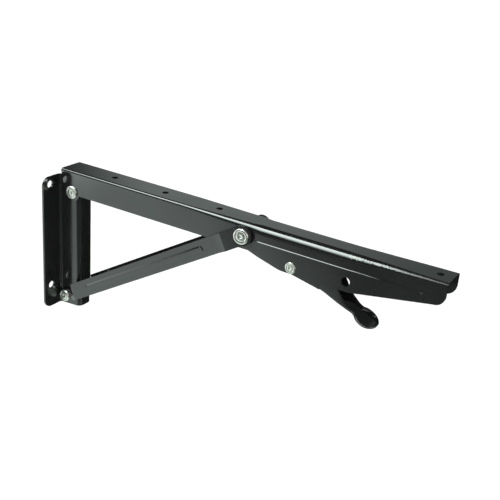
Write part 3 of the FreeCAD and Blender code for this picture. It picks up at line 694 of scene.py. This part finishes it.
# %% Lever fold
FOLD_ROUND, FOLD_STEPS = 0.0018, 4
FOLD_TURN = math.radians(45)
folds = pick("edges", lambda e: not e.is_boundary and e.calc_face_angle(0) > FOLD_TURN)
bpy.ops.mesh.bevel(offset=FOLD_ROUND, segments=FOLD_STEPS)
bpy.ops.object.mode_set(mode="OBJECT")
apply_modifier(handle, "SOLIDIFY", thickness=SHEET, offset=-1)
print("handle faces:", len(handle.data.polygons), "fold edges:", folds)

# %% [markdown]
# ## Lever hook
# The hooked rear end that holds the lock pin is hidden inside the arm, and it has to fit
# the pin, the rivet and the spring. So it isn't modelled again: a copy of the solid is cut
# off where the trough begins, and the two are joined into one piece.

# %% Lever hook
LEVER_ROUND = 0.0003
sheet_copy("release_lever", "lever_hook")
bpy.ops.mesh.select_all(action="SELECT")
bpy.ops.mesh.bisect(
    plane_co=(first_x, 0, 0), plane_no=(1, 0, 0), use_fill=True, clear_outer=True,
)
bpy.ops.object.mode_set(mode="OBJECT")
handle.select_set(True)
bpy.context.view_layer.objects.active = handle
bpy.ops.object.join()
soften(handle, LEVER_ROUND)
finish_piece(handle, "release_lever", "release_lever", BLACK, None)
print("lever faces:", len(handle.data.polygons))

# %% [markdown]
# ## Studio floor
# The bracket is held as on a wall, high over a pale floor, so that the arm can fold down.
# The floor is white paper that keeps a faint shadow. A little light of its own lifts it
# to the white of the sky, for the camera and in the gloss alike.

# %% Floor
FLOOR_Z = -0.36
FLOOR_HALF = 8.0
PAPER = (0.6, 0.6, 0.6, 1)
WHITE = (1, 1, 1, 1)
PAPER_GLOW = 0.43


def stage_sheet(name, corners, material):
    """A flat sheet of the studio, which isn't part of the bracket."""
    mesh = bpy.data.meshes.new(name)
    mesh.from_pydata(corners, [], [list(range(len(corners)))])
    sheet = bpy.data.objects.new(name, mesh)
    bpy.context.scene.collection.objects.link(sheet)
    mesh.materials.append(material)
    return sheet


def blank_material(name):
    """A material without nodes, with its node tree and the tree's link function."""
    material = bpy.data.materials.new(name)
    material.use_nodes = True
    material.node_tree.nodes.clear()
    return material, material.node_tree, material.node_tree.links.new


def floor_material():
    """Paper with a little light of its own, clear when it is seen from below."""
    material, tree, link = blank_material("pale_floor")
    paper = add_node(tree, "ShaderNodeBsdfDiffuse", Color=PAPER)
    white = add_node(tree, "ShaderNodeEmission", Color=WHITE, Strength=PAPER_GLOW)
    lit = add_node(tree, "ShaderNodeAddShader")
    end = add_node(tree, "ShaderNodeOutputMaterial")
    link(paper.outputs[0], lit.inputs[0])
    link(white.outputs[0], lit.inputs[1])
    # From below the floor lets the camera through, so that the underside can be seen.
    below = add_node(tree, "ShaderNodeNewGeometry").outputs["Backfacing"]
    clear = add_node(tree, "ShaderNodeBsdfTransparent")
    mixed = add_node(tree, "ShaderNodeMixShader")
    link(below, mixed.inputs[0])
    link(lit.outputs[0], mixed.inputs[1])
    link(clear.outputs[0], mixed.inputs[2])
    link(mixed.outputs[0], end.inputs["Surface"])
    return material


def level(x0, x1, y0, y1, z):
    """Corners of a level sheet."""
    return [(x0, y0, z), (x1, y0, z), (x1, y1, z), (x0, y1, z)]


stage_sheet(
    "floor",
    level(-FLOOR_HALF, FLOOR_HALF, -FLOOR_HALF, FLOOR_HALF, FLOOR_Z),
    floor_material(),
)
print("floor at", FLOOR_Z)

# %% [markdown]
# ## Card helpers
# A black gloss shows its surroundings, and photographers set those with cards. Area lamps
# could stand in for them, but a lamp has one brightness all over. A card here is a sheet
# that glows by its place: nodes grade its light and feather its edges, so that the studio
# behind shows through. Only the gloss sees it, and it casts neither light nor shadow.

# %% Card helpers
CARD_TINT = (0.88, 1.0, 0.95, 1)


def soft_step(tree, source, low, high, at_low, at_high):
    """A smooth change of a value between two places."""
    step = add_node(tree, "ShaderNodeMapRange", interpolation_type="SMOOTHSTEP")
    for label, value in zip(("From Min", "From Max", "To Min", "To Max"),
                            (low, high, at_low, at_high)):
        step.inputs[label].default_value = value
    tree.links.new(source, step.inputs["Value"])
    return step.outputs["Result"]


def combine(tree, operation, first, second):
    """One math node on two sockets, or on a socket and a number."""
    made = add_node(tree, "ShaderNodeMath", operation=operation)
    for slot, item in enumerate((first, second)):
        if isinstance(item, (int, float)):
            made.inputs[slot].default_value = item
        else:
            tree.links.new(item, made.inputs[slot])
    return made.outputs[0]


def card(name, corners, shade):
    """A card for the gloss; shade(tree, x, y, z) gives its light and its mask."""
    material, tree, link = blank_material(name)
    split = add_node(tree, "ShaderNodeSeparateXYZ")
    link(add_node(tree, "ShaderNodeTexCoord").outputs["Object"], split.inputs[0])
    light, mask = shade(tree, *split.outputs)
    glow = add_node(tree, "ShaderNodeEmission", Color=CARD_TINT)
    link(light, glow.inputs["Strength"])
    clear = add_node(tree, "ShaderNodeBsdfTransparent")
    mixed = add_node(tree, "ShaderNodeMixShader")
    link(mask, mixed.inputs[0])
    link(clear.outputs[0], mixed.inputs[1])
    link(glow.outputs[0], mixed.inputs[2])
    end = add_node(tree, "ShaderNodeOutputMaterial")
    link(mixed.outputs[0], end.inputs["Surface"])
    sheet = stage_sheet(name, corners, material)
    sheet.visible_camera = False
    sheet.visible_diffuse = False
    sheet.visible_shadow = False
    print("card:", name)


# %% [markdown]
# ## Top box
# The soft box overhead draws the line of light along the folded edge of the arm. It is
# brightest above the bracket and fades to the left and at its right end, where the line
# in the photograph fades too.

# %% Top box
BOX_Z = 0.56


def top_box_shade(tree, x, y, z):
    """Bright over the bracket, dimmer to the left and towards the front."""
    right = soft_step(tree, x, 0.13, 0.23, 1.0, 0.0)
    light = soft_step(tree, y, -0.75, -0.15, 1.8, 10.0)
    left = soft_step(tree, x, -0.6, -0.15, 0.3, 1.0)
    return combine(tree, "MULTIPLY", combine(tree, "MULTIPLY", right, left), light), right


card("top_box", level(-1.6, 0.24, -0.74, -0.09, BOX_Z), top_box_shade)

# %% [markdown]
# ## Black cards
# One black card overhead and one in front leave the dark bands beside the line of light,
# and make the folds and the hat read as black.

# %% Black cards
CARD_BLACK = 0.02


def ceiling_card_shade(tree, x, y, z):
    """Black all over, feathered at the back."""
    edge = soft_step(tree, y, 0.7, 0.85, 1.0, 0.0)
    return combine(tree, "MULTIPLY", edge, CARD_BLACK), edge


def front_card_shade(tree, x, y, z):
    """Black; below it is clear at the far left and half clear elsewhere."""
    low = soft_step(tree, z, -0.16, -0.02, 0.0, 1.0)
    low = combine(tree, "MAXIMUM", low, soft_step(tree, x, -0.85, -0.7, 0.0, 0.5))
    return combine(tree, "MULTIPLY", low, CARD_BLACK), low


def upright(x0, x1, y, z0, z1):
    """Corners of an upright sheet across the view."""
    return [(x0, y, z0), (x1, y, z0), (x1, y, z1), (x0, y, z1)]


card("ceiling_card", level(-2.0, 1.2, -0.09, 0.85, BOX_Z), ceiling_card_shade)
card("front_card", upright(-2.5, 1.5, -1.6, -0.18, 1.25), front_card_shade)

# %% [markdown]
# ## Grey cards
# A grey card behind gives the top face its sheen. A graded card low down, bright at the
# left, grey under the belly and black at the right and in front, gives the sides their
# soft grey and leaves the flanges black.

# %% Grey cards
CARD_LIFT = 0.01


def back_card_shade(tree, x, y, z):
    """Grey, brightest left of the middle, feathered below."""
    grey = soft_step(tree, x, -0.65, 0.05, 0.57, 0.25)
    left = soft_step(tree, x, -1.45, -1.0, 0.12, 1.0)
    left = combine(tree, "MULTIPLY", left, soft_step(tree, x, 0.15, 0.55, 1.0, 0.2))
    edge = soft_step(tree, z, -0.3, -0.1, 0.0, 1.0)
    return combine(tree, "MULTIPLY", grey, left), edge


def low_card_shade(tree, x, y, z):
    """Light on a slant across the card, dark in front and behind, bright far left."""
    slant = combine(tree, "SUBTRACT", x, y)
    along = soft_step(tree, slant, 0.42, 0.86, 1.02, 0.1)
    near = soft_step(tree, y, -0.03, 0.12, 1.0, 0.02)
    far = soft_step(tree, y, -1.3, -1.1, 0.1, 1.0)
    left = soft_step(tree, x, -0.85, -0.65, 1.7, 0.0)
    far = combine(tree, "MAXIMUM", far, left)
    edge = soft_step(tree, y, 1.6, 2.0, 1.0, 0.0)
    across = combine(tree, "MULTIPLY", near, far)
    return combine(tree, "MULTIPLY", along, across), edge


card("back_card", upright(-3.0, 1.5, 1.5, -0.3, 1.6), back_card_shade)
card("low_card", level(-3.0, 2.0, -3.0, 2.0, FLOOR_Z + CARD_LIFT), low_card_shade)

# %% [markdown]
# ## Suns and world
# Two soft suns and a plain grey world light the bracket evenly, at a level at which a
# colour shows about as it is written. The suns stay out of the gloss, where the cards do
# their work. The world is white to the camera and in the gloss, and grey as a light.

# %% Suns
TOP_LIGHT, FRONT_LIGHT = 1.6, 0.7


def soft_sun(name, aim, strength, spread):
    """A sun that shines along a direction, softened by its apparent size."""
    data = bpy.data.lights.new(name, "SUN")
    data.energy = strength
    data.angle = math.radians(spread)
    lamp = bpy.data.objects.new(name, data)
    lamp.rotation_euler = Vector(aim).to_track_quat("-Z", "Y").to_euler()
    lamp.visible_glossy = False
    bpy.context.scene.collection.objects.link(lamp)
    return lamp


suns = [
    soft_sun("top_sun", (0.25, 0.3, -1.0), TOP_LIGHT, spread=50),
    soft_sun("front_sun", (-0.6, 1.0, -0.7), FRONT_LIGHT, spread=40),
]
print("suns:", [(sun.name, round(sun.data.energy, 2)) for sun in suns])

# %% World
WORLD_LIGHT = 0.5
world = bpy.data.worlds.new("studio")
bpy.context.scene.world = world
world.use_nodes = True
tree = world.node_tree
tree.nodes.clear()
path = add_node(tree, "ShaderNodeLightPath")
seen = combine(tree, "MAXIMUM", path.outputs["Is Camera Ray"], path.outputs["Is Glossy Ray"])
seen = combine(tree, "MAXIMUM", seen, path.outputs["Is Transmission Ray"])
plain = add_node(tree, "ShaderNodeBackground", Color=WHITE, Strength=WORLD_LIGHT)
white = add_node(tree, "ShaderNodeBackground", Color=WHITE, Strength=1.0)
mixed = add_node(tree, "ShaderNodeMixShader")
end = add_node(tree, "ShaderNodeOutputWorld")
tree.links.new(seen, mixed.inputs[0])
tree.links.new(plain.outputs[0], mixed.inputs[1])
tree.links.new(white.outputs[0], mixed.inputs[2])
tree.links.new(mixed.outputs[0], end.inputs["Surface"])
bpy.context.scene.view_settings.view_transform = "Standard"
print("world nodes:", len(tree.nodes))
